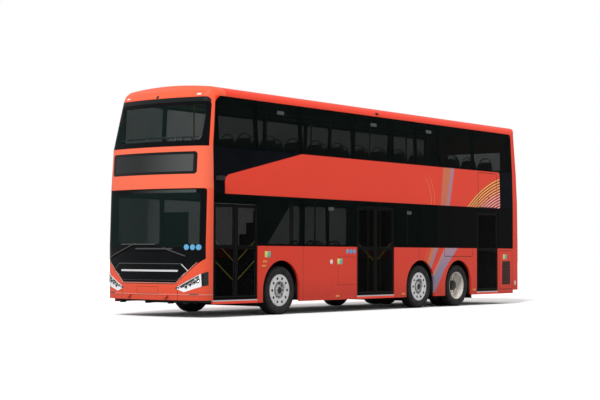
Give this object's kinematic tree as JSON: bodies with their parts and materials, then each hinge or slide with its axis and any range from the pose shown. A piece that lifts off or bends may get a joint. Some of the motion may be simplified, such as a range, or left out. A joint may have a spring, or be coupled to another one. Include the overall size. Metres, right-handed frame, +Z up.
{
  "type": "electric double-deck city bus",
  "caption": "Electric double-deck city bus with a bowed raked front, long glazed decks, twin rear wheels and folding-leaf side doors.",
  "frame": {"origin": "on the ground, at the centre of the footprint", "axes": "+X forward, +Y to the bus's left (door) side, +Z up"},
  "size_m": [11.9998, 2.76, 4.345],
  "materials": {
    "body_red": "gloss",
    "body_black": "gloss",
    "frame_black": "satin",
    "tinted_glass": "gloss",
    "clear_glass": "gloss",
    "display_panel": "gloss",
    "lamp_clear": "gloss",
    "lamp_red": "gloss",
    "floor_covering": "matt",
    "alloy_trim": "polished",
    "well_steel": "matt",
    "chassis_steel": "matt",
    "axle_iron": "matt",
    "battery_case": "matt",
    "seat_cloth": "woven",
    "rail_paint": "satin",
    "cab_plastic": "matt",
    "trim_black": "satin",
    "tyre": "matt",
    "rim_alloy": "polished",
    "door_frame": "gloss"
  },
  "bodies": {
    "body": {"axle_beams": "axle_iron", "battery_pack": "battery_case", "bumper": "body_red", "camera_pods": "trim_black", "chassis_frame": "chassis_steel", "displays": "display_panel", "door_sills": "alloy_trim", "driver_cab": "cab_plastic", "front_band": "body_red", "front_cap": "body_red", "front_panel": "body_black", "front_pillars": "body_red", "front_trim": "alloy_trim", "handrails": "rail_paint", "headlamps": "lamp_clear", "left_glass": "tinted_glass", "left_panels": "body_red", "left_window_frame": "frame_black", "lower_floor": "floor_covering", "quarter_panels": "body_black", "rear_wall": "body_red", "rear_window": "tinted_glass", "right_glass": "tinted_glass", "right_panels": "body_red", "right_window_frame": "frame_black", "roof": "body_red", "seats_lower": "seat_cloth", "seats_upper": "seat_cloth", "staircase": "floor_covering", "tail_lamps": "lamp_red", "upper_floor": "floor_covering", "wheel_wells": "well_steel", "windscreen_frames": "frame_black", "windscreens": "clear_glass", "wipers": "trim_black"},
    "steer_left": {"knuckle_left": "axle_iron"},
    "steer_right": {"knuckle_right": "axle_iron"},
    "wheel_front_left": {"tyre_front_left": "tyre", "rim_front_left": "rim_alloy"},
    "wheel_front_right": {"tyre_front_right": "tyre", "rim_front_right": "rim_alloy"},
    "wheel_middle_left": {"tyre_middle_left": "tyre", "rim_middle_left": "rim_alloy"},
    "wheel_middle_right": {"tyre_middle_right": "tyre", "rim_middle_right": "rim_alloy"},
    "wheel_drive_left": {"tyre_drive_left": "tyre", "rim_drive_left": "rim_alloy"},
    "wheel_drive_right": {"tyre_drive_right": "tyre", "rim_drive_right": "rim_alloy"},
    "door_front_a": {"door_front_a": "door_frame", "door_front_a_glass": "tinted_glass"},
    "door_front_b": {"door_front_b": "door_frame", "door_front_b_glass": "tinted_glass"},
    "door_middle_a": {"door_middle_a": "door_frame", "door_middle_a_glass": "tinted_glass"},
    "door_middle_b": {"door_middle_b": "door_frame", "door_middle_b_glass": "tinted_glass"},
    "door_rear_a": {"door_rear_a": "door_frame", "door_rear_a_glass": "tinted_glass"},
    "bay_flap": {"bay_flap": "body_red"}
  },
  "joints": [
    {"name": "steering_left", "type": "hinge", "parent": "body", "child": "steer_left", "pos_m": [3.49, 0.86, 0.473], "axis": [0, 0, 1], "range_deg": [-42, 42]},
    {"name": "steering_right", "type": "hinge", "parent": "body", "child": "steer_right", "pos_m": [3.49, -0.86, 0.473], "axis": [0, 0, 1], "range_deg": [-42, 42]},
    {"name": "roll_front_left", "type": "hinge", "parent": "steer_left", "child": "wheel_front_left", "pos_m": [3.49, 1.0825, 0.473], "axis": [0, 1, 0], "continuous": true},
    {"name": "roll_front_right", "type": "hinge", "parent": "steer_right", "child": "wheel_front_right", "pos_m": [3.49, -1.0825, 0.473], "axis": [0, 1, 0], "continuous": true},
    {"name": "roll_middle_left", "type": "hinge", "parent": "body", "child": "wheel_middle_left", "pos_m": [-1.5, 1.0825, 0.473], "axis": [0, 1, 0], "continuous": true},
    {"name": "roll_middle_right", "type": "hinge", "parent": "body", "child": "wheel_middle_right", "pos_m": [-1.5, -1.0825, 0.473], "axis": [0, 1, 0], "continuous": true},
    {"name": "roll_drive_left", "type": "hinge", "parent": "body", "child": "wheel_drive_left", "pos_m": [-3.1, 1.0825, 0.473], "axis": [0, 1, 0], "continuous": true},
    {"name": "roll_drive_right", "type": "hinge", "parent": "body", "child": "wheel_drive_right", "pos_m": [-3.1, -1.0825, 0.473], "axis": [0, 1, 0], "continuous": true},
    {"name": "swing_front_a", "type": "hinge", "parent": "body", "child": "door_front_a", "pos_m": [5.494, 1.224, 1.2], "axis": [0, 0, 1], "range_deg": [0, 90]},
    {"name": "swing_front_b", "type": "hinge", "parent": "body", "child": "door_front_b", "pos_m": [4.262, 1.224, 1.2], "axis": [0, 0, -1], "range_deg": [0, 90]},
    {"name": "swing_middle_a", "type": "hinge", "parent": "body", "child": "door_middle_a", "pos_m": [0.916, 1.224, 1.2], "axis": [0, 0, 1], "range_deg": [0, 90]},
    {"name": "swing_middle_b", "type": "hinge", "parent": "body", "child": "door_middle_b", "pos_m": [-0.415, 1.224, 1.2], "axis": [0, 0, -1], "range_deg": [0, 90]},
    {"name": "swing_rear_a", "type": "hinge", "parent": "body", "child": "door_rear_a", "pos_m": [-4.882, 1.224, 1.2], "axis": [0, 0, -1], "range_deg": [0, 90]},
    {"name": "bay_lift", "type": "hinge", "parent": "body", "child": "bay_flap", "pos_m": [-5.96324, 0, 1.876], "axis": [0, 1, 0], "range_deg": [0, 80]}
  ],
  "couplings": [
    {"joint": "steering_right", "follows": "steering_left", "ratio": 1},
    {"joint": "swing_front_b", "follows": "swing_front_a", "ratio": 1},
    {"joint": "swing_middle_b", "follows": "swing_middle_a", "ratio": 1}
  ]
}
